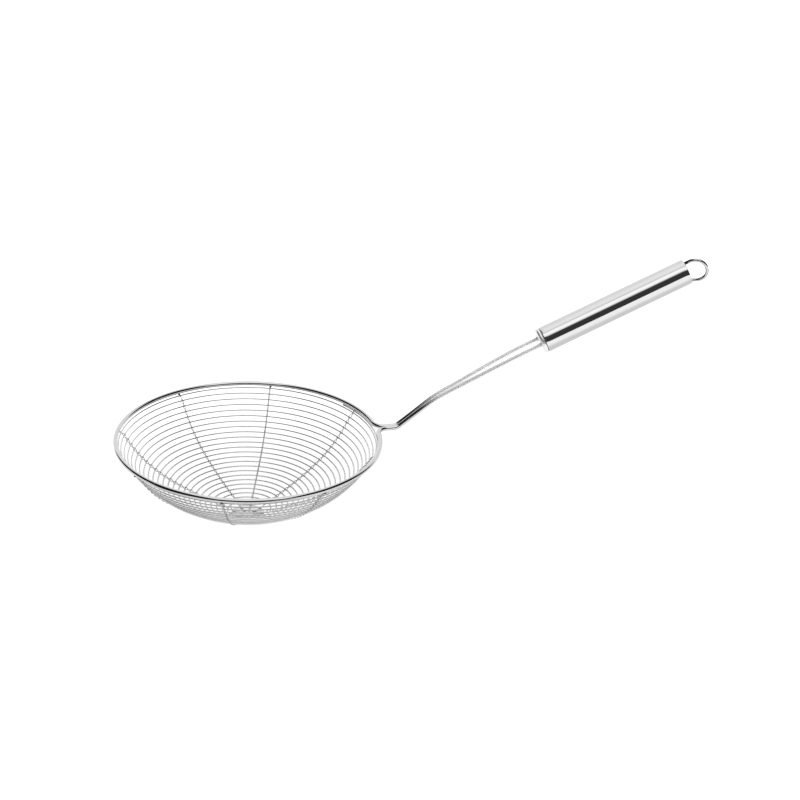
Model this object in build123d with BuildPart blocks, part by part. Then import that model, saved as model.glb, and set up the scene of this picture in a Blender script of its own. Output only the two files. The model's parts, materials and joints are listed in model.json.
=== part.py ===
from build123d import *

from math import cos, hypot, pi, radians, sin, sqrt
import os

# Spider skimmer. X runs from the bowl's axis to the handle, Z is up, the bowl's foot is on z = 0.
# All lengths are in millimetres and all angles in degrees.

# frame wire: rim ring, neck and shank. Runs and heights of the shank and the handle are counted
# from the corner where the shank starts to rise.
rim_outer_d = 180.0
frame_wire_d = 3.2
neck_gap = 0.1
neck_bend_r = 7.0
neck_length = 7.3
shank_corner_r = 6.0
shank_rise = 36.5
spread_start_run = 8.0
arch_start_run = 21.7
arch_end_run = 39.9
arch_end_height = 26.2
arch_end_rise = 26.2
leg_straight = 6.0
leg_depth = 27.0
leg_wall = 2.0

# handle
grip_rise = 23.1
grip_front_run = 98.5
grip_front_height = 54.2
grip_length = 111.2
tube_d = 18.0
tube_wall = 0.5
tube_edge = 0.2
fit_gap = 0.05
front_round = 1.8
front_land = 0.7
front_bevel = 0.4
front_groove = 0.25
front_plug = 8.0
plug_bevel = 0.5

# rear cap and hanging loop
loop_wire_d = 2.5
loop_fit = 0.05
loop_side_gap = 0.6
loop_mouth_gap = 0.4
loop_pin_depth = 2.4
loop_bend_r = 1.5
loop_half_width = 7.8
loop_reach = 15.9
loop_lean = 25.0
pivot_inset = 1.8
rear_pocket_gap = 0.95
rear_seat = 7.0
rear_dome = 1.2

# bowl: the meridian that the spiral wire's centre line lies on
bowl_depth = 54.8
bowl_shares = (2.085, -3.052, 1.997)
spiral_wire_d = 1.0
spiral_pitch = 3.99
first_turn_offset = 1.4
settling_run = 1.0
settled_turn_share = 0.875
start_turn_share = -0.02
spiral_end_gap = 1.3
meridian_steps = 1600

# ribs: eight pairs of thin wires twisted round the turns of the spiral
rib_count = 8
first_rib_angle = 22.5
rib_shift_angles = (0, 0, 0, 0, 0, 0, -1.5, 0.9)
strand_d = 0.5
strand_gap = 0.1
tuck_gap = 0.45
rim_gap = 0.3
strand_slant = 17.5
tucked_run = 3.7
rib_end_overhang = 0.8
rib_step_in = 2.0
rib_foot_radius = 3.6

# centre disc
disc_d = 22.2
disc_flat_d = 10.0
disc_thickness = 0.9
disc_flare = 1.2
disc_edge_round = 0.3

overrun = 2.0

# how the curves are drawn and measured
tangent_step_share = 0.001
straight_share = 0.0001
parallel_share = 1e-9
arcs_per_turn = 4
samples_per_arc = 24

rim_r = (rim_outer_d - frame_wire_d) / 2
wire_lift = (spiral_wire_d + strand_d) / 2 + strand_gap
tuck_lift = (spiral_wire_d + strand_d) / 2 + tuck_gap
disc_stack = disc_thickness + strand_d / 2 + strand_gap
rim_z = bowl_depth + wire_lift + disc_stack


# Meridian of the bowl, as points (radius, height) and arc lengths counted from the rim.
def bowl_height(radius):
    share = radius / rim_r
    return rim_z - bowl_depth + bowl_depth * sum(c * share ** (k + 2) for k, c in enumerate(bowl_shares))


meridian = [(rim_r * (1 - k / meridian_steps), bowl_height(rim_r * (1 - k / meridian_steps)))
            for k in range(meridian_steps + 1)]
meridian_arcs = [0.0]
for (r0, z0), (r1, z1) in zip(meridian, meridian[1:]):
    meridian_arcs.append(meridian_arcs[-1] + hypot(r1 - r0, z1 - z0))


def meridian_at(arc):
    low, high = 0, meridian_steps
    while high - low > 1:
        middle = (low + high) // 2
        if meridian_arcs[middle] <= arc:
            low = middle
        else:
            high = middle
    step = meridian_arcs[high] - meridian_arcs[low]
    share = (arc - meridian_arcs[low]) / step
    (r0, z0), (r1, z1) = meridian[low], meridian[high]
    inward = ((r1 - r0) / step, (z1 - z0) / step)
    return (r0 + share * (r1 - r0), z0 + share * (z1 - z0)), inward


def unit(vector):
    return vector * (1 / vector.length)


def arc_middle(start, start_way, end):
    """Middle point of the arc that leaves start along start_way and reaches end, or None for a line."""
    chord = end - start
    half = chord.length / 2
    cosine = min(1.0, start_way.dot(chord) / chord.length)
    sine = sqrt(1 - cosine ** 2)
    sagitta = half * sine / (1 + cosine)
    side = start_way - chord * (cosine / chord.length)
    if sagitta < half * straight_share:
        return None
    return (start + end) * 0.5 + unit(side) * sagitta


def biarc_pieces(nodes):
    """Arcs (start, middle, end) through nodes of point and direction, two for each span."""
    pieces = []
    for (p0, t0), (p1, t1) in zip(nodes, nodes[1:]):
        chord = p1 - p0
        lean = chord.dot(t0 + t1)
        bend = 2 * (1 - t0.dot(t1))
        span = chord.dot(chord)
        if bend < parallel_share:
            reach = span / (2 * lean)
        else:
            reach = (sqrt(lean ** 2 + bend * span) - lean) / bend
        knee0 = p0 + t0 * reach
        knee1 = p1 - t1 * reach
        joint = (knee0 + knee1) * 0.5
        pieces.append((p0, arc_middle(p0, t0, joint), joint))
        pieces.append((joint, arc_middle(joint, unit(knee1 - knee0), p1), p1))
    return pieces


def curve_nodes(place, turns):
    """Nodes of a curve given as a function of turns."""
    return [(place(turn), unit(place(turn + tangent_step_share) - place(turn - tangent_step_share)))
            for turn in turns]


def draw_path(pieces):
    for start, middle, end in pieces:
        if middle is None:
            Line(start, end)
        else:
            ThreePointArc(start, middle, end)


# Radii inside the handle, and how far apart the frame's two legs stand in the front cap.
tube_r = tube_d / 2
bore_r = tube_r - tube_wall
plug_r = bore_r - fit_gap
leg_spread = plug_r - frame_wire_d / 2 - leg_wall

# Frame wire: from one leg in the handle round the rim to the other, all one wire.
neck_y = (frame_wire_d + neck_gap) / 2
neck_turn_y = neck_y + neck_bend_r
neck_x = sqrt((rim_r + neck_bend_r) ** 2 - neck_turn_y ** 2)
corner = Vector(neck_x + neck_length, 0, rim_z)
corner_tangent = shank_corner_r * sin(radians(shank_rise)) / (1 + cos(radians(shank_rise)))
shank_slope = sin(radians(shank_rise)) / cos(radians(shank_rise))
grip_way = Vector(cos(radians(grip_rise)), 0, sin(radians(grip_rise)))
grip_up = Vector(-sin(radians(grip_rise)), 0, cos(radians(grip_rise)))
grip_origin = corner + Vector(grip_front_run, 0, grip_front_height)
leg_entry = grip_origin - grip_way * leg_straight
spread_slope = (leg_spread - neck_y) / (leg_entry.X - corner.X - spread_start_run)


def shank_node(run, height, rise):
    """Node of the left leg's centre line; past the spread's start the legs part steadily."""
    spread = max(0, run - spread_start_run) * spread_slope
    parting = spread_slope if run > spread_start_run else 0
    return (corner + Vector(run, neck_y + spread, height),
            unit(Vector(cos(radians(rise)), parting, sin(radians(rise)))))


touch = rim_r / (rim_r + neck_bend_r)
half_nodes = [
    (grip_origin + grip_way * leg_depth + Vector(0, leg_spread, 0), grip_way),
    (leg_entry + Vector(0, leg_spread, 0), grip_way),
    shank_node(arch_end_run, arch_end_height, arch_end_rise),
    shank_node(arch_start_run, arch_start_run * shank_slope, shank_rise),
    shank_node(spread_start_run, spread_start_run * shank_slope, shank_rise),
    shank_node(corner_tangent * cos(radians(shank_rise)), corner_tangent * sin(radians(shank_rise)),
               shank_rise),
    shank_node(-corner_tangent, 0, 0),
    (Vector(neck_x, neck_y, rim_z), Vector(1, 0, 0)),
    (Vector(neck_x * touch, neck_turn_y * touch, rim_z), unit(Vector(neck_turn_y, -neck_x, 0))),
    (Vector(0, rim_r, rim_z), Vector(1, 0, 0)),
]
frame_nodes = [(point, way * -1) for point, way in half_nodes]
frame_nodes.append((Vector(-rim_r, 0, rim_z), Vector(0, -1, 0)))
frame_nodes += [(Vector(point.X, -point.Y, point.Z), Vector(way.X, -way.Y, way.Z))
                for point, way in reversed(half_nodes)]
frame_pieces = biarc_pieces(frame_nodes)

with BuildPart() as frame_wire:
    with BuildLine() as frame_path:
        draw_path(frame_pieces)
    with BuildSketch(Plane(origin=frame_nodes[0][0], z_dir=frame_nodes[0][1])):
        Circle(frame_wire_d / 2)
    sweep(path=Wire(frame_path.edges()))


# Spiral wire: one wire from the rim at the first rib, clockwise and inward down to the centre disc.
rim_arc = (frame_wire_d + spiral_wire_d) / 2 + first_turn_offset
settled_arc = rim_arc + settling_run
spiral_end_arc = meridian_arcs[-1] - disc_d / 2 - spiral_end_gap
end_turn = settled_turn_share + (spiral_end_arc - settled_arc) / spiral_pitch


def spiral_arc(turn):
    if turn < settled_turn_share:
        return rim_arc + settling_run * turn / settled_turn_share
    return settled_arc + spiral_pitch * (turn - settled_turn_share)


def spiral_point(turn):
    (radius, height), _ = meridian_at(spiral_arc(turn))
    angle = radians(first_rib_angle) - 2 * pi * turn
    return Vector(radius * cos(angle), radius * sin(angle), height)


half_turns = [k / 2 for k in range(1, int(2 * end_turn) + 1)]
spiral_pieces = biarc_pieces(curve_nodes(spiral_point, [start_turn_share] + half_turns + [end_turn]))

with BuildPart() as spiral_wire:
    with BuildLine() as spiral_path:
        draw_path(spiral_pieces)
    with BuildSketch(Plane(origin=spiral_path.edges()[0] @ 0, z_dir=spiral_path.edges()[0] % 0)):
        Circle(spiral_wire_d / 2)
    sweep(path=Wire(spiral_path.edges()))


# Rib strands: each passes above and below the spiral's turns by turns, its twin does the opposite.
strand_side = (strand_d + strand_gap / 2) / 2
flare_slope = disc_flare / (disc_d / 2 - disc_flat_d / 2)


def disc_top(radius):
    return disc_thickness + flare_slope * max(0, radius - disc_flat_d / 2)


def rib_nodes(rib, sign):
    """Nodes of one strand, from under the rim to its foot on the centre disc."""
    rib_turn = rib / rib_count - rib_shift_angles[rib] / 360
    angle = radians(first_rib_angle - 360 * rib_turn)
    out = Vector(cos(angle), sin(angle), 0)
    across = Vector(-sin(angle), cos(angle), 0)
    up = Vector(0, 0, 1)
    crossings = [spiral_arc(m + rib_turn) for m in range(int(end_turn - rib_turn) + 1)]
    tucked = [arc for arc in crossings if arc < rim_arc + tucked_run]
    wrapped = [arc for arc in crossings if arc >= rim_arc + tucked_run]
    aside = across * (sign * strand_side)
    under_rim = rim_z - frame_wire_d / 2 - strand_d / 2 - rim_gap
    points = [out * (rim_r + rib_end_overhang) + up * under_rim + aside]
    for arc in tucked:
        (radius, height), (run, fall) = meridian_at(arc)
        inside = out * fall - up * run
        points.append(out * radius + up * height - inside * tuck_lift + aside)
    wraps = []
    for k, arc in enumerate(wrapped):
        turn = sign if k % 2 else -sign
        (radius, height), (run, fall) = meridian_at(arc)
        inside = out * fall - up * run
        along = out * run + up * fall
        slant = radians(strand_slant) * turn
        wraps.append((out * radius + up * height - inside * (wire_lift * turn),
                      unit(along * cos(slant) + across * sin(slant))))
    ways = [unit(b - a) for a, b in zip(points, points[1:] + [wraps[0][0]])]
    nodes = [(points[0], ways[0])]
    nodes += [(point, unit(before + after)) for point, before, after in zip(points[1:], ways, ways[1:])]
    nodes += wraps
    aside = across * (turn * strand_side)
    rest = strand_d / 2 + strand_gap
    for radius, slope in ((disc_d / 2 - rib_step_in, flare_slope), (rib_foot_radius, 0)):
        nodes.append((out * radius + up * (disc_top(radius) + rest) + aside, unit(out * -1 - up * slope)))
    return nodes


strands = {}
strand_pieces = {}
for rib in range(rib_count):
    for sign, side in ((1, "left"), (-1, "right")):
        name = f"rib_{rib + 1}_{side}_strand"
        pieces = biarc_pieces(rib_nodes(rib, sign))
        with BuildPart() as strand:
            with BuildLine() as strand_path:
                draw_path(pieces)
            with BuildSketch(Plane(origin=strand_path.edges()[0] @ 0, z_dir=strand_path.edges()[0] % 0)):
                Circle(strand_d / 2)
            sweep(path=Wire(strand_path.edges()))
        strands[name] = strand
        strand_pieces[name] = pieces


# Centre disc: a dished plate that the ribs' inner ends stand on.
with BuildPart() as centre_disc:
    with BuildSketch(Plane.XZ):
        with BuildLine():
            Polyline((0, 0), (disc_flat_d / 2, 0), (disc_d / 2, disc_flare),
                     (disc_d / 2, disc_flare + disc_thickness), (disc_flat_d / 2, disc_thickness),
                     (0, disc_thickness), close=True)
        make_face()
    revolve(axis=Axis.Z)
    fillet(centre_disc.edges().filter_by(GeomType.CIRCLE).group_by(SortBy.RADIUS)[-1], disc_edge_round)


# Handle: local X runs along the tube from its front, local Y is the tube's upward side.
grip_plane = Plane(origin=grip_origin, x_dir=grip_way, z_dir=(0, -1, 0))
grip_axis = Axis(grip_origin, grip_way)
front_flange = front_round + front_land + front_bevel
tube_front = front_flange + front_groove

with BuildPart() as handle_tube:
    with BuildSketch(grip_plane):
        with BuildLine():
            Polyline((tube_front, bore_r), (grip_length, bore_r), (grip_length, tube_r - tube_edge),
                     (grip_length - tube_edge, tube_r), (tube_front + tube_edge, tube_r),
                     (tube_front, tube_r - tube_edge), close=True)
        make_face()
    revolve(axis=grip_axis)

with BuildPart() as front_cap:
    with BuildSketch(grip_plane):
        with BuildLine():
            Polyline((0, 0), (0, tube_r - front_round))
            RadiusArc((0, tube_r - front_round), (front_round, tube_r), front_round)
            Polyline((front_round, tube_r), (front_flange - front_bevel, tube_r),
                     (front_flange, tube_r - front_bevel), (front_flange, plug_r),
                     (tube_front + front_plug - plug_bevel, plug_r),
                     (tube_front + front_plug, plug_r - plug_bevel), (tube_front + front_plug, 0), (0, 0))
        make_face()
    revolve(axis=grip_axis)
    with BuildSketch(Plane(origin=grip_origin, x_dir=(0, 1, 0), z_dir=grip_way)):
        with Locations((leg_spread, 0), (-leg_spread, 0)):
            Circle(frame_wire_d / 2 + fit_gap)
    extrude(amount=tube_front + front_plug + overrun, mode=Mode.SUBTRACT)

tongue_half = bore_r - loop_mouth_gap - loop_wire_d - loop_side_gap
rear_pocket = pivot_inset + loop_wire_d / 2 + rear_pocket_gap
rear_plug = rear_pocket + rear_seat
rear_dome_r = (plug_r ** 2 + rear_dome ** 2) / (2 * rear_dome)
pivot_point = grip_origin + grip_way * (grip_length - pivot_inset)
lean_way = grip_way * cos(radians(loop_lean)) + Vector(0, -sin(radians(loop_lean)), 0)
loop_plane = Plane(origin=pivot_point, x_dir=lean_way, z_dir=lean_way.cross(grip_up))

with BuildPart() as rear_cap:
    with BuildSketch(grip_plane):
        with BuildLine():
            Polyline((grip_length + rear_dome, 0), (grip_length - rear_plug, 0),
                     (grip_length - rear_plug, plug_r - plug_bevel),
                     (grip_length - rear_plug + plug_bevel, plug_r), (grip_length, plug_r))
            ThreePointArc((grip_length, plug_r),
                          (grip_length + rear_dome - rear_dome_r + sqrt(rear_dome_r ** 2 - plug_r ** 2 / 4),
                           plug_r / 2),
                          (grip_length + rear_dome, 0))
        make_face()
    revolve(axis=grip_axis)
    with BuildSketch(grip_plane):
        for flip in (1, -1):
            with Locations((grip_length - rear_pocket, flip * tongue_half)):
                Rectangle(rear_pocket + rear_dome + overrun, tube_r, align=(
                    Align.MIN, Align.MIN if flip > 0 else Align.MAX))
    extrude(amount=tube_r + overrun, both=True, mode=Mode.SUBTRACT)
    with BuildSketch(Plane(origin=pivot_point, z_dir=grip_up)):
        Circle(loop_wire_d / 2 + loop_fit)
    extrude(amount=tube_r, both=True, mode=Mode.SUBTRACT)

loop_root = tongue_half + loop_side_gap + loop_wire_d / 2
loop_nodes = [
    ((0, tongue_half - loop_pin_depth), (0, 1)),
    ((0, loop_root - loop_bend_r), (0, 1)),
    ((loop_bend_r, loop_root), (1, 0)),
    ((loop_reach - loop_half_width, loop_half_width), (1, 0)),
    ((loop_reach, 0), (0, -1)),
]
loop_nodes += [((x, -y), (-dx, dy)) for (x, y), (dx, dy) in reversed(loop_nodes[:-1])]
loop_path_nodes = [(loop_plane.from_local_coords(Vector(x, y, 0)),
                    loop_plane.x_dir * dx + loop_plane.y_dir * dy) for (x, y), (dx, dy) in loop_nodes]

with BuildPart() as hanging_loop:
    with BuildLine() as loop_path:
        draw_path(biarc_pieces(loop_path_nodes))
    with BuildSketch(Plane(origin=loop_path_nodes[0][0], z_dir=loop_path_nodes[0][1])):
        Circle(loop_wire_d / 2)
    sweep(path=Wire(loop_path.edges()))

nodes = {
    "frame_wire": frame_wire,
    "spiral_wire": spiral_wire,
    "centre_disc": centre_disc,
    "handle_tube": handle_tube,
    "front_cap": front_cap,
    "rear_cap": rear_cap,
    "hanging_loop": hanging_loop,
}
nodes.update(strands)

os.makedirs("parts", exist_ok=True)
for name, node in nodes.items():
    node.part.label = name
    export_step(node.part, f"parts/{name}.step")
    print(name, "volume", round(node.part.volume, 2), "solids", len(node.part.solids()))


# Least gap between neighbouring turns of the spiral, measured from points along its arcs to the
# chords between the points about one turn further in.
def chord_distance(point, start, end):
    run = end - start
    share = min(1, max(0, (point - start).dot(run) / run.dot(run)))
    return (point - start - run * share).length


spiral_arcs = [ThreePointArc(*piece, mode=Mode.PRIVATE) for piece in spiral_pieces]
spiral_points = [arc @ (k / samples_per_arc) for arc in spiral_arcs for k in range(samples_per_arc)]
points_per_turn = arcs_per_turn * samples_per_arc
near = range(points_per_turn - samples_per_arc, points_per_turn + samples_per_arc)
least = min(chord_distance(spiral_points[i], spiral_points[i + k], spiral_points[i + k + 1])
            for i in range(len(spiral_points) - near[-1] - 1) for k in near)
print("spiral: turns", round(end_turn, 2), "least gap to itself", round(least - spiral_wire_d, 2))
print("rim height", round(rim_z, 2), "pivot", pivot_point, "loop way", lean_way)
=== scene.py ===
"""Spider skimmer: a wire bowl wound in a spiral, held in a wire rim, on a tube handle with a hanging loop.

All lengths are in metres and all angles in degrees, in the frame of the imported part: the bowl's foot
stands on z = 0, its axis is Z, and +X runs to the rear end of the handle.
"""
import json
from math import cos, pi, radians, sin, sqrt, tan

import bmesh
import bpy
import numpy as np
from mathutils import Matrix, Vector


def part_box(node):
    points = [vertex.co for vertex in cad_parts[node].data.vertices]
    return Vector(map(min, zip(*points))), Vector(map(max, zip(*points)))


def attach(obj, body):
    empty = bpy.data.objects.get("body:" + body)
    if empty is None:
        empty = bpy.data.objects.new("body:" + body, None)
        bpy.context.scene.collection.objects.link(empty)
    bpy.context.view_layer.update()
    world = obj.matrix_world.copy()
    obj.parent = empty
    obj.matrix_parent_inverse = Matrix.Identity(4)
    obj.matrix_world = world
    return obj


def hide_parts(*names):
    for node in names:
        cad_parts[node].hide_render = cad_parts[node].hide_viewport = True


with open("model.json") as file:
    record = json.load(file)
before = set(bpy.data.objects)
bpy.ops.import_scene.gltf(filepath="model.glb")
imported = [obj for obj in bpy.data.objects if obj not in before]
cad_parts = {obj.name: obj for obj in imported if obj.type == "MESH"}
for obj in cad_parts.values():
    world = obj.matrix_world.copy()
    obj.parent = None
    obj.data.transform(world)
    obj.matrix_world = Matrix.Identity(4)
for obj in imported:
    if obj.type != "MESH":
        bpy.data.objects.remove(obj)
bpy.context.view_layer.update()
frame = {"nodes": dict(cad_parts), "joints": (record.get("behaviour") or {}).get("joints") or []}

# Wires, disc and handle: the sizes that the frame's boxes don't give.
frame_wire_r = 0.0016
spiral_wire_r = 0.0005
strand_r = 0.00025
loop_wire_r = 0.00125
neck_gap = 0.0001
neck_bend_r = 0.007
neck_length = 0.0073
shank_corner_r = 0.006
shank_rise = 36.5
spread_start_run = 0.008
arch_start_run = 0.0217
arch_end_run = 0.0399
arch_end_height = 0.0262
arch_end_rise = 26.2
leg_straight = 0.006
leg_depth = 0.027
leg_spread = 0.00485
grip_length = 0.1112
tube_r = 0.009
tube_wall = 0.0005
tube_front = 0.00315
tube_lip = 0.00035
pivot_inset = 0.0018
loop_pin_tip = 0.0026
loop_root = 0.00685
loop_half_width = 0.0078
loop_reach = 0.0159
loop_bend_r = 0.0015
loop_lean = 25
disc_r = 0.0111
disc_flat_r = 0.005
disc_thickness = 0.0009
disc_flare = 0.0012

# The bowl's meridian, the spiral's pitch along it and the ribs.
bowl_depth = 0.0548
bowl_shares = (2.085, -3.052, 1.997)
spiral_pitch = 0.00399
first_turn_offset = 0.0014
settling_run = 0.001
settled_turn_share = 0.875
start_turn_share = -0.02
spiral_end_gap = 0.0013
rib_count = 8
first_rib_angle = 22.5
rib_shift_angles = (0, 0, 0, 0, 0, 0, -1.5, 0.9)
strand_gap = 0.0001
tuck_gap = 0.00045
rim_gap = 0.0003
strand_slant = 17.5
tucked_run = 0.0037
rib_end_overhang = 0.0008
rib_step_in = 0.002
rib_foot_radius = 0.0036
weld_r = 0.00046
weld_run = 0.0016

# How finely the curves and the turned shapes are drawn.
frame_spacing = 0.0012
strand_spacing = 0.0005
loop_spacing = 0.0004
meridian_steps = 1600
steps_per_turn = 150
thick_wire_sides = 28
spiral_sides = 14
strand_sides = 10
tube_sides = 144
tube_steps = 40
lip_steps = 6
straight_turn = 1e-4
merge_distance = 1e-6

# Places taken from the frame.
wire_low, wire_high = (np.array(corner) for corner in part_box("frame_wire"))
rim_r = wire_high[1] - frame_wire_r
rim_z = wire_low[2] + frame_wire_r
swing = next(joint for joint in frame["joints"] if joint["name"] == "loop_swing")
pivot = np.array(swing["pos_m"], float)
grip_up = np.array(swing["axis"], float) / np.linalg.norm(swing["axis"])
grip_way = np.array([grip_up[2], 0, -grip_up[0]])
grip_front = pivot - grip_way * (grip_length - pivot_inset)


def unit(vectors):
    """Each vector divided by its length."""
    vectors = np.asarray(vectors, float)
    return vectors / np.linalg.norm(vectors, axis=-1, keepdims=True)


def smooth_path(nodes, ways, spacing):
    """Points along a curve that passes through the nodes in the given directions.

    Each span is a cubic with handles of 4/3 tan(turn/4) times the radius of the arc that turns as
    far over the same chord, so an even turn comes out round.
    """
    nodes, ways = np.asarray(nodes, float), unit(ways)
    points = []
    for start, end, way_in, way_out in zip(nodes, nodes[1:], ways, ways[1:]):
        chord = np.linalg.norm(end - start)
        turn = np.arccos(np.clip(way_in @ way_out, -1, 1))
        handle = chord / 3 if turn < straight_turn else 4 / 3 * tan(turn / 4) * chord / (2 * sin(turn / 2))
        u = np.linspace(0, 1, max(3, int(chord / spacing) + 2))[:-1, None]
        points.append((1 - u) ** 3 * start + 3 * (1 - u) ** 2 * u * (start + way_in * handle)
                      + 3 * (1 - u) * u ** 2 * (end - way_out * handle) + u ** 3 * end)
    return np.vstack(points + [nodes[-1:]])


def wire_rings(points, radius, sides, reference=(0, 0, 1)):
    """Rings of a round wire: point + radius (cos a N + sin a B), with N the reference square to the path.

    radius is one value or one for each point.
    """
    ways = unit(np.gradient(points, axis=0))
    side = np.broadcast_to(np.asarray(reference, float), ways.shape)
    normal = unit(side - ways * np.sum(side * ways, axis=1, keepdims=True))
    binormal = np.cross(ways, normal)
    angle = np.linspace(0, 2 * pi, sides, endpoint=False)[None, :, None]
    radius = np.broadcast_to(np.asarray(radius, float), (len(points),))[:, None, None]
    return points[:, None] + radius * (np.cos(angle) * normal[:, None] + np.sin(angle) * binormal[:, None])


def turned_rings(along, radii, origin, way, sides):
    """Rings of a turned shape: origin + along * way + radius (cos a N + sin a B) for each profile point."""
    way = unit(way)
    normal = unit(np.cross(way, (0.3, 1, 0.2)))
    binormal = np.cross(way, normal)
    angle = np.linspace(0, 2 * pi, sides, endpoint=False)[None, :, None]
    centres = np.asarray(origin) + np.asarray(along)[:, None] * way
    return centres[:, None] + np.asarray(radii)[:, None, None] * (
        np.cos(angle) * normal + np.sin(angle) * binormal)


def ring_piece(name, rings, body, replaced, closed=False, sharp=40):
    """A mesh of quads between rings, with fans over both ends, or closed on itself along the rings.

    Its UV map runs round the section in u and along the path in v, both in metres.
    """
    count, sides, _ = rings.shape
    steps = count if closed else count - 1
    row = np.arange(steps)[:, None] * sides
    across = (np.arange(steps)[:, None] + 1) % count * sides
    near = np.arange(sides)[None, :]
    far = (near + 1) % sides
    quads = np.stack([row + near, row + far, across + far, across + near], axis=-1).reshape(-1, 4)
    vertices = rings.reshape(-1, 3)
    faces = quads.tolist()
    centres = rings.mean(axis=1)
    length = np.concatenate([[0], np.cumsum(np.linalg.norm(np.diff(centres, axis=0), axis=1))])
    if closed:
        length = np.append(length, length[-1] + np.linalg.norm(centres[0] - centres[-1]))
    girth = np.linalg.norm(rings[:, 1] - rings[:, 0], axis=1).max() * sides
    u = np.stack([near, near + 1, near + 1, near], axis=-1) / sides * girth
    v = np.stack([length[:-1], length[:-1], length[1:], length[1:]], axis=-1)
    uv = np.stack([np.broadcast_to(u, (steps, sides, 4)),
                   np.broadcast_to(v[:, None], (steps, sides, 4))], axis=-1).reshape(-1, 2)
    if not closed:
        vertices = np.vstack([vertices, centres[:1], centres[-1:]])
        first, last = count * sides, count * sides + 1
        ends = [[first, (k + 1) % sides, k] for k in range(sides)]
        ends += [[last, (count - 1) * sides + k, (count - 1) * sides + (k + 1) % sides] for k in range(sides)]
        faces += ends
        tips = np.repeat(np.array([[0, 0], [0, length[-1]]]), 3 * sides, axis=0)
        uv = np.vstack([uv, tips])
    mesh = bpy.data.meshes.new(name)
    mesh.from_pydata(vertices.tolist(), [], faces)
    mesh.uv_layers.new(name="along").data.foreach_set("uv", uv.astype(np.float32).ravel())
    return finished_piece(name, mesh, body, replaced, sharp)


def finished_piece(name, mesh, body, replaced, sharp):
    """Shades the mesh smooth between edges sharper than the angle, and puts it in place of its nodes."""
    mesh.validate()
    mesh.polygons.foreach_set("use_smooth", np.ones(len(mesh.polygons), bool))
    mesh.set_sharp_from_angle(angle=radians(sharp))
    piece = bpy.data.objects.new(name, mesh)
    bpy.context.scene.collection.objects.link(piece)
    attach(piece, body)
    if replaced:
        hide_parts(*replaced)
    return piece


def smoothed_node(name, node, body, sharp=30):
    """The node's own shape, with its loose triangles joined so that it can be shaded smooth."""
    shape = bmesh.new()
    shape.from_mesh(frame["nodes"][node].data)
    bmesh.ops.remove_doubles(shape, verts=shape.verts, dist=merge_distance)
    mesh = bpy.data.meshes.new(name)
    shape.to_mesh(mesh)
    shape.free()
    mesh.materials.clear()
    return finished_piece(name, mesh, body, [node], sharp)


# Frame wire: from one leg inside the handle round the rim to the other leg.
neck_y = frame_wire_r + neck_gap / 2
neck_turn_y = neck_y + neck_bend_r
neck_x = sqrt((rim_r + neck_bend_r) ** 2 - neck_turn_y ** 2)
corner = np.array([neck_x + neck_length, 0, rim_z])
corner_tangent = shank_corner_r * tan(radians(shank_rise) / 2)
leg_entry = grip_front - grip_way * leg_straight
spread_slope = (leg_spread - neck_y) / (leg_entry[0] - corner[0] - spread_start_run)


def shank_node(run, height, rise):
    """Place and way of the left leg at a run beyond the corner; past the spread's start the legs part."""
    parting = spread_slope if run > spread_start_run else 0
    y = neck_y + max(0, run - spread_start_run) * spread_slope
    return corner + (run, y, height), unit([cos(radians(rise)), parting, sin(radians(rise))])


touch = rim_r / (rim_r + neck_bend_r)
left_half = [
    (grip_front + grip_way * leg_depth + (0, leg_spread, 0), grip_way),
    (leg_entry + (0, leg_spread, 0), grip_way),
    shank_node(arch_end_run, arch_end_height, arch_end_rise),
    shank_node(arch_start_run, arch_start_run * tan(radians(shank_rise)), shank_rise),
    shank_node(spread_start_run, spread_start_run * tan(radians(shank_rise)), shank_rise),
    shank_node(corner_tangent * cos(radians(shank_rise)), corner_tangent * sin(radians(shank_rise)),
               shank_rise),
    shank_node(-corner_tangent, 0, 0),
    (np.array([neck_x, neck_y, rim_z]), np.array([1, 0, 0])),
    (np.array([neck_x * touch, neck_turn_y * touch, rim_z]), unit([neck_turn_y, -neck_x, 0])),
    (np.array([0, rim_r, rim_z]), np.array([1, 0, 0])),
]
mirror_y = np.array([1, -1, 1])
frame_nodes = [point for point, way in left_half] + [np.array([-rim_r, 0, rim_z])]
frame_nodes += [point * mirror_y for point, way in reversed(left_half)]
frame_ways = [-way for point, way in left_half] + [np.array([0, -1, 0])]
frame_ways += [way * mirror_y for point, way in reversed(left_half)]
frame_path = smooth_path(frame_nodes, frame_ways, frame_spacing)
frame_piece = ring_piece("rim_and_shank_wire", wire_rings(frame_path, frame_wire_r, thick_wire_sides),
                         "skimmer", ["frame_wire"])

# Meridian of the bowl: radius and height against the arc length from the rim.
meridian_r = np.linspace(rim_r, 0, meridian_steps + 1)
meridian_share = meridian_r / rim_r
meridian_z = rim_z - bowl_depth + bowl_depth * sum(
    c * meridian_share ** (k + 2) for k, c in enumerate(bowl_shares))
meridian_arc = np.concatenate([[0], np.cumsum(np.hypot(np.diff(meridian_r), np.diff(meridian_z)))])


def meridian_at(arc):
    """Radius, height and inward slope (dr, dz) of the meridian at the arc length from the rim."""
    radius = np.interp(arc, meridian_arc, meridian_r)
    height = np.interp(arc, meridian_arc, meridian_z)
    run = np.interp(arc, meridian_arc, np.gradient(meridian_r, meridian_arc))
    fall = np.interp(arc, meridian_arc, np.gradient(meridian_z, meridian_arc))
    return radius, height, run, fall


# Spiral wire: clockwise and inward from the rim at the first rib.
rim_arc = frame_wire_r + spiral_wire_r + first_turn_offset
end_turn = settled_turn_share + (
    meridian_arc[-1] - disc_r - spiral_end_gap - rim_arc - settling_run) / spiral_pitch


def spiral_arc(turn):
    """Arc length from the rim at a turn: a first, closer turn, then a steady pitch."""
    settling = rim_arc + settling_run * turn / settled_turn_share
    return np.where(turn < settled_turn_share, settling,
                    rim_arc + settling_run + spiral_pitch * (turn - settled_turn_share))


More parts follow.
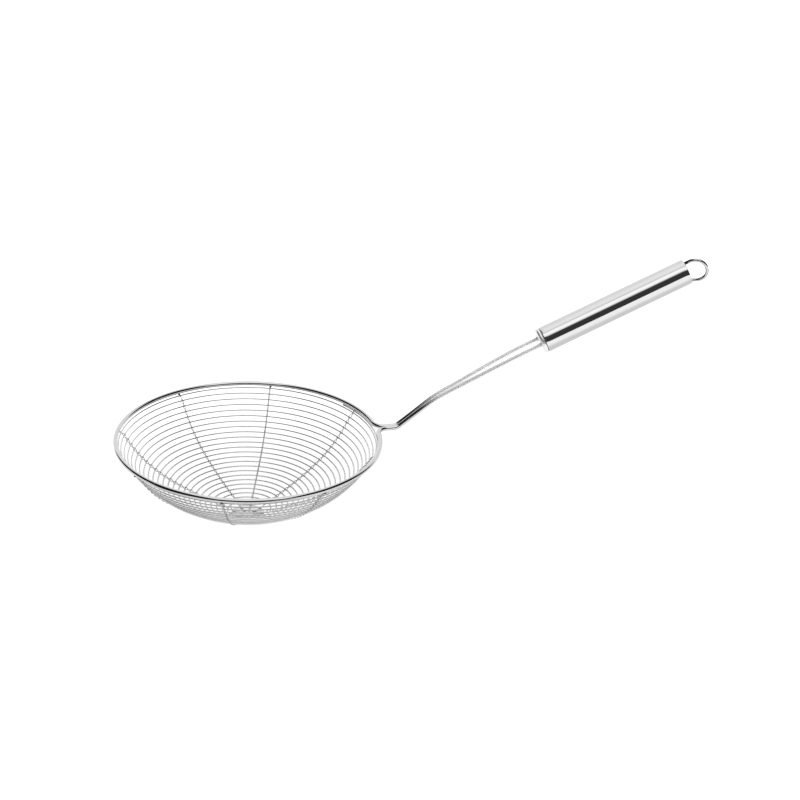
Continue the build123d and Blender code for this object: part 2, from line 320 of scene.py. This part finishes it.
turns = np.linspace(start_turn_share, end_turn, int(end_turn * steps_per_turn))
spiral_r, spiral_z, _, _ = meridian_at(spiral_arc(turns))
spiral_angle = radians(first_rib_angle) - 2 * pi * turns
spiral_path = np.stack([spiral_r * np.cos(spiral_angle), spiral_r * np.sin(spiral_angle), spiral_z], axis=-1)
spiral_piece = ring_piece("bowl_spiral_wire", wire_rings(spiral_path, spiral_wire_r, spiral_sides),
                          "skimmer", ["spiral_wire"])

# Ribs: two strands each, that pass over and under the spiral's turns by turns.
wire_lift = spiral_wire_r + strand_r + strand_gap
tuck_lift = spiral_wire_r + strand_r + tuck_gap
strand_side = strand_r + strand_gap / 4
flare_slope = disc_flare / (disc_r - disc_flat_r)
up = np.array([0, 0, 1])


def disc_top(radius):
    """Height of the disc's upper side: flat in the middle, then a straight flare."""
    return disc_thickness + flare_slope * max(0, radius - disc_flat_r)


def strand_route(rib, sign):
    """Nodes and ways of one strand, from under the rim to its foot on the centre disc."""
    rib_turn = rib / rib_count - rib_shift_angles[rib] / 360
    angle = radians(first_rib_angle - 360 * rib_turn)
    out = np.array([cos(angle), sin(angle), 0])
    across = np.array([-sin(angle), cos(angle), 0])
    arcs = spiral_arc(rib_turn + np.arange(int(end_turn - rib_turn) + 1))
    points = [out * (rim_r + rib_end_overhang) + up * (rim_z - frame_wire_r - strand_r - rim_gap)
              + across * sign * strand_side]
    wraps, wrap_ways = [], []
    for arc in arcs:
        radius, height, run, fall = meridian_at(arc)
        inside = out * fall - up * run
        if arc < rim_arc + tucked_run:
            points.append(out * radius + up * height - inside * tuck_lift + across * sign * strand_side)
            continue
        turn = sign if len(wraps) % 2 else -sign
        slant = radians(strand_slant) * turn
        wraps.append(out * radius + up * height - inside * wire_lift * turn)
        wrap_ways.append((out * run + up * fall) * cos(slant) + across * sin(slant))
    chords = unit(np.diff(points + wraps[:1], axis=0))
    ways = [chords[0]] + list(unit(chords[:-1] + chords[1:])) + wrap_ways
    points += wraps
    for radius, slope in ((disc_r - rib_step_in, flare_slope), (rib_foot_radius, 0)):
        points.append(out * radius + up * (disc_top(radius) + strand_r + strand_gap)
                      + across * turn * strand_side)
        ways.append(unit(-out - up * slope))
    return points, ways, across


strand_pieces = []
for rib in range(rib_count):
    for sign, side in ((1, "left"), (-1, "right")):
        points, ways, across = strand_route(rib, sign)
        path = smooth_path(points, ways, strand_spacing)
        from_end = np.linalg.norm(path - path[0], axis=1)
        radius = strand_r + (weld_r - strand_r) * np.exp(-(from_end / weld_run) ** 4)
        rings = wire_rings(path, radius, strand_sides, across)
        strand_pieces.append(ring_piece(f"rib_{rib + 1}_{side}", rings, "skimmer",
                                        [f"rib_{rib + 1}_{side}_strand"]))

# Centre disc, handle tube, caps and loop.
disc_piece = smoothed_node("bowl_foot_disc", "centre_disc", "skimmer")


def quarter(start, end):
    """Quarter of an ellipse: x0 + (x1 - x0) sin a and r0 + (r1 - r0) (1 - cos a), a from 0 to 90 degrees."""
    angle = np.linspace(0, pi / 2, lip_steps)
    (x0, r0), (x1, r1) = start, end
    return np.stack([x0 + (x1 - x0) * np.sin(angle), r0 + (r1 - r0) * (1 - np.cos(angle))], axis=-1)


bore_r = tube_r - tube_wall
profile = np.vstack([
    [(tube_front, bore_r)],
    quarter((tube_front + tube_lip, tube_r), (tube_front, tube_r - tube_lip))[::-1],
    [(x, tube_r) for x in np.linspace(tube_front + tube_lip, grip_length - tube_lip, tube_steps)[1:-1]],
    quarter((grip_length - tube_lip, tube_r), (grip_length, tube_r - tube_lip)),
    [(grip_length, bore_r)],
])
tube_rings = turned_rings(profile[:, 0], profile[:, 1], grip_front, grip_way, tube_sides)
tube_piece = ring_piece("grip_tube", tube_rings, "skimmer", ["handle_tube"], closed=True)
front_piece = smoothed_node("grip_front_cap", "front_cap", "skimmer")
rear_piece = smoothed_node("grip_rear_plug", "rear_cap", "skimmer")

lean_way = grip_way * cos(radians(loop_lean)) + np.array([0, -sin(radians(loop_lean)), 0])
loop_side = np.cross(np.cross(lean_way, grip_up), lean_way)
loop_half = [((0, loop_pin_tip), (0, 1)), ((0, loop_root - loop_bend_r), (0, 1)),
             ((loop_bend_r, loop_root), (1, 0)), ((loop_reach - loop_half_width, loop_half_width), (1, 0)),
             ((loop_reach, 0), (0, -1))]
loop_flat = loop_half + [((x, -y), (-dx, dy)) for (x, y), (dx, dy) in reversed(loop_half[:-1])]
loop_nodes = [pivot + lean_way * x + loop_side * y for (x, y), way in loop_flat]
loop_ways = [lean_way * dx + loop_side * dy for place, (dx, dy) in loop_flat]
loop_path = smooth_path(loop_nodes, loop_ways, loop_spacing)
loop_rings = wire_rings(loop_path, loop_wire_r, thick_wire_sides, np.cross(lean_way, grip_up))
loop_piece = ring_piece("hanging_ring", loop_rings, "loop", ["hanging_loop"])


# Materials.
class Value:
    """A shader socket; arithmetic on it adds its Math nodes."""

    def __init__(self, finish, socket):
        self.finish, self.socket = finish, socket

    def __add__(self, other):
        return self.finish.math("ADD", self, other)

    def __radd__(self, other):
        return self.finish.math("ADD", other, self)

    def __sub__(self, other):
        return self.finish.math("SUBTRACT", self, other)

    def __rsub__(self, other):
        return self.finish.math("SUBTRACT", other, self)

    def __mul__(self, other):
        return self.finish.math("MULTIPLY", self, other)

    def __rmul__(self, other):
        return self.finish.math("MULTIPLY", other, self)

    def __truediv__(self, other):
        return self.finish.math("DIVIDE", self, other)

    def __rtruediv__(self, other):
        return self.finish.math("DIVIDE", other, self)

    def __abs__(self):
        return self.finish.math("ABSOLUTE", self)

    def larger(self, other):
        """The larger of the two."""
        return self.finish.math("MAXIMUM", self, other)

    def step(self, start, end):
        """0 below start, 1 above end and a smooth rise between."""
        return self.finish.node("ShaderNodeMapRange", {"interpolation_type": "SMOOTHSTEP"}, {
            "Value": self, "From Min": start, "From Max": end}).value(0)


class Node:
    """A shader node with its outputs as values."""

    def __init__(self, finish, node):
        self.finish, self.made = finish, node

    def value(self, output):
        return Value(self.finish, self.made.outputs[output])


class Finish:
    """A material or a world that is put together from nodes."""

    def __init__(self, holder):
        holder.use_nodes = True
        self.holder, self.tree = holder, holder.node_tree
        self.tree.nodes.clear()

    def node(self, kind, settings=None, inputs=None):
        """Adds a node of a kind, sets its settings first, then the values or links of its sockets."""
        made = self.tree.nodes.new(kind)
        for key, setting in (settings or {}).items():
            if key == "stops":
                ramp = made.color_ramp
                for place, level in setting[2:]:
                    ramp.elements.new(place)
                for element, (place, level) in zip(ramp.elements, setting):
                    element.position = place
                    element.color = (level, level, level, 1)
            else:
                setattr(made, key, setting)
        for key, given in (inputs or {}).items():
            if isinstance(given, Value):
                self.tree.links.new(given.socket, made.inputs[key])
            else:
                made.inputs[key].default_value = given
        return Node(self, made)

    def math(self, operation, *given):
        """A Math node on values, numbers or both."""
        return self.node("ShaderNodeMath", {"operation": operation}, dict(enumerate(given))).value(0)

    def axes(self, vector):
        """The three components of a vector."""
        parts = self.node("ShaderNodeSeparateXYZ", {}, {"Vector": vector})
        return [parts.value(k) for k in range(3)]

    def noise(self, vector, scale, detail):
        """Soft noise from 0 to 1 at a place."""
        return self.node("ShaderNodeTexNoise", {}, {
            "Vector": vector, "Scale": scale, "Detail": detail}).value("Fac")

    def blend(self, share, first, second):
        """A colour between two; each is a socket or one level of grey."""
        first, second = ((given, given, given * blue_share, 1) if isinstance(given, float) else given
                         for given in (first, second))
        return self.node("ShaderNodeMix", {"data_type": "RGBA"}, {
            "Factor": share, "A": first, "B": second}).value(2)


# Steel: how the marks lie along a wire, and how far tint, gloss, satin with its painted highlight tint and
# weld burn with its painted dark reflection depart from plain steel.
drawn_scale = (900, 60, 1)
grain_scale = (700, 700, 700)
smear_scale, slow_scale = 90.0, 28.0
drawn_tint_share, smear_tint_share, gloss_spread = 0.08, 0.06, 0.02
# The satin near a wire's ends is rougher, and its lighter tint is a painted highlight.
satin_gloss, satin_and_highlight_tint = 0.56, 0.92
# A strand's welded start is painted dark: partly weld burn, partly a painted dark reflection.
burn_and_dark_reflection_tint = 0.14
blue_share = 1.008


def steel(name, tint, roughness, marks=1e-6, wave=0.0, has_map=True, satin_and_highlight_ends=None, burn_and_dark_reflection_end=None):
    """Stainless steel: fine marks drawn along the piece, soft smears in the gloss and a slow wave.

    marks is how deep the marks are and wave how high the slow wave is, in metres. A piece without
    the map "along" gets an even grain instead. satin_and_highlight_ends is a wire's length, how far from its
    ends the satin starts to give way and where it is gone; the satin is rougher and is also painted a lighter
    tint, a painted highlight. burn_and_dark_reflection_end is where the dark of a weld at the wire's start,
    partly burn and partly painted dark reflection, begins to fade and where it is gone.
    """
    finish = Finish(bpy.data.materials.new(name))
    place = finish.node("ShaderNodeTexCoord").value("Object")
    along = finish.node("ShaderNodeUVMap", {"uv_map": "along"}).value("UV") if has_map else place
    stretched = finish.node("ShaderNodeMapping", {}, {
        "Vector": along, "Scale": drawn_scale if has_map else grain_scale}).value(0)
    drawn, smear, slow = (finish.noise(*given) for given in (
        (stretched, 1.0, 3.0), (place, smear_scale, 2.0), (place, slow_scale, 1.0)))
    bump = finish.node("ShaderNodeBump", {}, {
        "Height": drawn * marks + slow * wave, "Strength": 1.0, "Distance": 1.0}).value(0)
    shade = 1 - drawn_tint_share + drawn * drawn_tint_share + (smear - 0.5) * smear_tint_share
    colour = finish.blend(shade, 0.0, tint)
    gloss = roughness + (smear + drawn - 1.0) * gloss_spread
    run = finish.axes(along)[1]
    if satin_and_highlight_ends:
        length, start, stop = satin_and_highlight_ends
        satin_and_highlight = abs(run - length / 2).step(length / 2 - stop, length / 2 - start)
        gloss = gloss + satin_and_highlight * satin_gloss
        # Painted highlight: the satin ends are blended to a lighter tint.
        colour = finish.blend(satin_and_highlight, colour, satin_and_highlight_tint)
    if burn_and_dark_reflection_end:
        # Painted dark at the welded start: partly weld burn, partly painted dark reflection.
        colour = finish.blend(run.step(*burn_and_dark_reflection_end), burn_and_dark_reflection_tint, colour)
    surface = finish.node("ShaderNodeBsdfPrincipled", {}, {
        "Base Color": colour, "Metallic": 1.0, "Roughness": gloss, "Normal": bump})
    finish.node("ShaderNodeOutputMaterial", {}, {"Surface": surface.value(0)})
    return finish.holder


frame_length = np.linalg.norm(np.diff(frame_path, axis=0), axis=1).sum()
# The frame wire's legs and shanks by the handle are satin, with a lighter tint that is a painted highlight.
frame_piece.data.materials.append(steel("polished_frame_wire", 0.58, 0.05,
                                        satin_and_highlight_ends=(frame_length, 0.100, 0.128)))
spiral_piece.data.materials.append(steel("drawn_spiral_wire", 0.66, 0.34))
# Painted shade: the rib strands are tinted darker than the other steel to stand in for their shading. Their
# welded starts are painted dark, partly burn and partly a painted dark reflection.
strand_finish_with_painted_shade = steel("drawn_rib_strand_painted_shade", 0.42, 0.30, burn_and_dark_reflection_end=(0.0012, 0.0022))
for strand in strand_pieces:
    strand.data.materials.append(strand_finish_with_painted_shade)
disc_piece.data.materials.append(steel("pressed_disc", 0.72, 0.34, has_map=False))
tube_piece.data.materials.append(steel("mirror_tube", 0.585, 0.05, marks=4e-7, wave=4e-6))
front_piece.data.materials.append(steel("polished_cap", 0.92, 0.46, has_map=False))
rear_piece.data.materials.append(steel("polished_plug", 0.57, 0.14, has_map=False))
loop_piece.data.materials.append(steel("polished_loop", 0.50, 0.08))

# Floor, studio and camera. Reflections also see dark cards that lie on the floor, in front of the
# bowl and to its left; straight from the camera the floor is pale all over.
floor_half = 4
floor_light, side_light, card_shade = 1.02, 0.5, 0.96
floor_mesh = bpy.data.meshes.new("studio_floor")
floor_mesh.from_pydata([(-floor_half, -floor_half, 0), (floor_half, -floor_half, 0),
                        (floor_half, floor_half, 0), (-floor_half, floor_half, 0)], [], [(0, 1, 2, 3)])
paper = Finish(bpy.data.materials.new("pale_floor"))
paper_x, paper_y, _ = paper.axes(paper.node("ShaderNodeTexCoord").value("Object"))
paper_shown = paper.node("ShaderNodeLightPath").value("Is Camera Ray")
front_card = (0.0 - paper_y).step(0.15, 0.19) * (1 - paper_x.step(0.06, 0.12))
left_card = (0.0 - paper_x).step(0.17, 0.23) * (1 - paper_y.step(-0.06, 0.0))
paper_light = (floor_light + abs(paper_y).step(0.04, 0.24) * side_light) * (
    1 - front_card.larger(left_card) * (1 - paper_shown) * card_shade)
paper.node("ShaderNodeOutputMaterial", {}, {
    "Surface": paper.node("ShaderNodeEmission", {}, {"Strength": paper_light}).value(0)})
floor_mesh.materials.append(paper.holder)
floor = bpy.data.objects.new("studio_floor", floor_mesh)
bpy.context.scene.collection.objects.link(floor)

studio = Finish(bpy.data.worlds.new("soft_studio"))
bpy.context.scene.world = studio.holder
east, north, height = studio.axes(studio.node("ShaderNodeTexCoord").value("Generated"))
elevation = studio.math("ARCSINE", height) * (180 / pi)
pole_slack = 0.0001
level_run = studio.math("SQRT", 1 + pole_slack - height * height)


def toward(azimuth):
    """How far a direction points to an azimuth, from -1 to 1."""
    return east * cos(radians(azimuth)) + north * sin(radians(azimuth))


# A long soft box runs overhead from the front to the pale backdrop, between two dark side flags.
front_side, backdrop_side = -98, 70
strip_light, backdrop_light, fill_light, dark_light, shown_light = 1.6, 1.12, 0.04, 0.015, 1.2
tilt = studio.math("ARCTAN2", height, toward(front_side)) / pi
strip = studio.node("ShaderNodeValToRGB", {"stops": [
    (0.0, 0.0), (38 / 180, 0.0), (50 / 180, 0.94), (60 / 180, 1.0), (73 / 180, 0.96), (76.5 / 180, 0.56),
    (79.5 / 180, 0.50), (84 / 180, 0.76), (105 / 180, 0.83), (125 / 180, 0.76), (140 / 180, 0.68),
    (160 / 180, 0.68), (1.0, 0.75)]}, {"Fac": tilt}).value(0)
open_side = 1 - abs(toward(front_side + 90)).step(0.34, 0.50)
facing_back = (toward(backdrop_side) / level_run).step(0.60, 0.74)
backdrop = facing_back * (1 - elevation.step(38, 50)) * backdrop_light
light = (strip * open_side * strip_light).larger(backdrop) + open_side * fill_light + dark_light
shown = studio.node("ShaderNodeLightPath").value("Is Camera Ray")
light = light * (1 - shown) + shown * shown_light
background = studio.node("ShaderNodeBackground", {}, {"Color": (1, 1, 1, 1), "Strength": light})
studio.node("ShaderNodeOutputWorld", {}, {"Surface": background.value(0)})

# The camera stands at camera_place and looks back along the azimuth and elevation, turned by the roll.
camera_place = (-0.3309, -1.6134, 0.8749)
camera_azimuth, camera_elevation, camera_roll = -105.095, 25.537, 1.664
camera_data = bpy.data.cameras.new("camera")
camera_data.sensor_width = 36
camera_data.lens = 123.64
camera_data.clip_end = 20
camera = bpy.data.objects.new("camera", camera_data)
camera.matrix_world = (Matrix.Translation(camera_place)
                       @ Matrix.Rotation(radians(camera_azimuth + 90), 4, "Z")
                       @ Matrix.Rotation(radians(90 - camera_elevation), 4, "X")
                       @ Matrix.Rotation(radians(camera_roll), 4, "Z"))
bpy.context.scene.collection.objects.link(camera)
bpy.context.scene.camera = camera
bpy.context.scene.view_settings.view_transform = "Standard"
